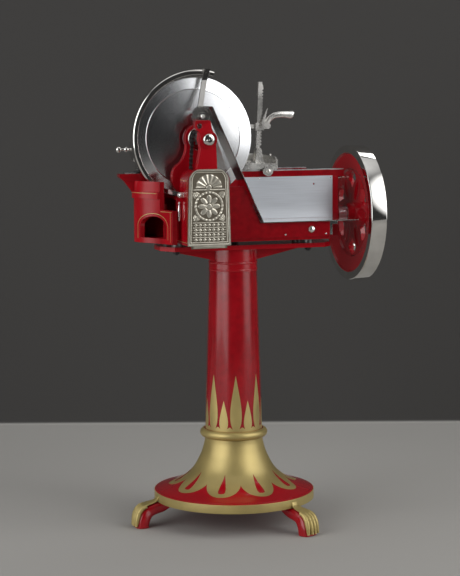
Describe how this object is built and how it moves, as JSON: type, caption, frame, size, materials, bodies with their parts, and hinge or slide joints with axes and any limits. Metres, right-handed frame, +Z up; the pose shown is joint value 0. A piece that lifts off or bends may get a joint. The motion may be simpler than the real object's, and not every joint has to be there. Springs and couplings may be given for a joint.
{
  "type": "hand crank meat slicer",
  "caption": "Hand-cranked flywheel meat slicer on a round flared pedestal with paw feet, with a dished knife, sliding meat table, clamp post and slice tray.",
  "frame": {"origin": "on the floor under the middle of the whole machine's footprint", "axes": "+Z up; +X towards the flywheel and its crank; -Y is the side on which the slices fall"},
  "size_m": [0.858, 0.5622, 1.3258],
  "materials": {
    "red_enamel": "glossy enamel",
    "gold_paint": "satin gold paint",
    "nickel": "polished nickel plate",
    "polished_steel": "ground and polished",
    "cast_nickel": "satin cast nickel",
    "dark_iron": "oiled dark iron",
    "bronze": "turned bronze",
    "grip_wood": "dark varnished"
  },
  "bodies": {
    "stand": {"pedestal_base": "red_enamel", "pedestal_column": "red_enamel", "column_collar": "red_enamel", "pedestal_head": "red_enamel", "tie_rod": "dark_iron", "head_pads": "dark_iron", "head_bolts": "dark_iron", "base_frame": "red_enamel", "side_cover": "red_enamel", "cover_screw": "nickel", "splash_plate": "nickel", "receiving_shelf": "nickel", "shelf_bracket": "nickel", "front_rail": "red_enamel", "rear_rail": "red_enamel", "rail_strips": "polished_steel", "shaft_bushes": "bronze", "drive_chain": "dark_iron", "arbor_bushes": "bronze", "bearing_cap": "nickel", "blade_bracket": "red_enamel", "plaque": "cast_nickel", "strut_stud": "nickel", "blade_guard": "nickel", "guard_clamp": "nickel", "guard_strut": "nickel", "guard_strap": "nickel", "dial_bracket": "nickel", "stop_rod": "nickel", "paw_foot_left": "red_enamel", "paw_foot_front": "red_enamel", "paw_foot_rear": "red_enamel"},
    "flywheel": {"flywheel": "red_enamel", "wheel_nut": "nickel", "crank_spindle": "nickel", "main_shaft": "polished_steel", "main_bevel_gear": "dark_iron"},
    "grip": {"crank_grip": "grip_wood"},
    "layshaft": {"layshaft": "polished_steel", "lay_bevel_gear": "dark_iron", "lower_sprocket": "dark_iron", "crank_arm": "dark_iron"},
    "blade": {"blade": "polished_steel", "arbor": "polished_steel", "upper_sprocket": "dark_iron"},
    "carriage": {"carriage": "nickel"},
    "rod": {"connecting_rod": "dark_iron"},
    "table": {"meat_table": "nickel", "post_foot": "nickel"},
    "feed": {"feed_screw": "polished_steel", "feed_wheel": "nickel"},
    "post": {"rack_post": "nickel"},
    "clamp": {"clamp_sleeve": "nickel", "clamp_shoe": "nickel"},
    "lever": {"clamp_lever": "nickel"},
    "pawl": {"clamp_pawl": "nickel"},
    "cam": {"table_cam": "nickel"},
    "dial": {"thickness_dial": "nickel"},
    "handle": {"box_handle": "nickel"},
    "strut_nut": {"strut_wheel": "nickel"}
  },
  "joints": [
    {"name": "flywheel_spin", "type": "hinge", "parent": "stand", "child": "flywheel", "pos_m": [0.31, 0.06, 0.8965], "axis": [1, 0, 0], "continuous": true},
    {"name": "grip_spin", "type": "hinge", "parent": "flywheel", "child": "grip", "pos_m": [0.3825, 0.13935, 0.78728], "axis": [1, 0, 0], "continuous": true},
    {"name": "layshaft_spin", "type": "hinge", "parent": "stand", "child": "layshaft", "pos_m": [-0.214, 0, 0.8965], "axis": [0, 1, 0], "continuous": true},
    {"name": "blade_spin", "type": "hinge", "parent": "stand", "child": "blade", "pos_m": [-0.214, -0.06, 1.129], "axis": [0, 1, 0], "continuous": true},
    {"name": "carriage_slide", "type": "slide", "parent": "stand", "child": "carriage", "axis": [1, 0, 0], "range_m": [-0.055, 0.055]},
    {"name": "rod_swing", "type": "hinge", "parent": "carriage", "child": "rod", "pos_m": [0.01159, 0.131, 0.8965], "axis": [0, -1, 0], "range_deg": [0, 27.4]},
    {"name": "table_feed", "type": "slide", "parent": "carriage", "child": "table", "axis": [0, 1, 0], "range_m": [0, 0.06]},
    {"name": "feed_spin", "type": "hinge", "parent": "table", "child": "feed", "pos_m": [-0.053, 0.2, 1.0384], "axis": [0, 1, 0], "range_deg": [0, 2161]},
    {"name": "post_tilt", "type": "hinge", "parent": "table", "child": "post", "pos_m": [0.0055, 0.06, 1.0864], "axis": [0, 1, 0], "range_deg": [-8, 0]},
    {"name": "clamp_slide", "type": "slide", "parent": "post", "child": "clamp", "axis": [0.0436, 0, 0.999], "range_m": [-0.045, 0.1]},
    {"name": "lever_lock", "type": "hinge", "parent": "clamp", "child": "lever", "pos_m": [0.03269, 0.06, 1.15888], "axis": [0, 1, 0], "range_deg": [-10, 30]},
    {"name": "pawl_release", "type": "hinge", "parent": "clamp", "child": "pawl", "pos_m": [0.01479, 0.047, 1.16167], "axis": [0, 1, 0], "range_deg": [-15, 15]},
    {"name": "cam_clamp", "type": "hinge", "parent": "carriage", "child": "cam", "pos_m": [0.016, -0.0015, 1.029], "axis": [0, 1, 0], "range_deg": [-45, 90]},
    {"name": "thickness_set", "type": "hinge", "parent": "stand", "child": "dial", "pos_m": [-0.361, 0.12, 1.094], "axis": [1, 0, 0], "range_deg": [0, 330]},
    {"name": "handle_swing", "type": "hinge", "parent": "stand", "child": "handle", "pos_m": [-0.289, -0.12, 0.95], "axis": [1, 0, 0], "range_deg": [-60, 60]},
    {"name": "strut_nut_turn", "type": "hinge", "parent": "stand", "child": "strut_nut", "pos_m": [-0.211, -0.087, 1.192], "axis": [0, 1, 0], "continuous": true}
  ],
  "couplings": [
    {"joint": "layshaft_spin", "follows": "flywheel_spin", "ratio": 1},
    {"joint": "blade_spin", "follows": "flywheel_spin", "ratio": 1.5385},
    {"joint": "feed_spin", "follows": "table_feed", "rad_per_m": 628.32}
  ]
}
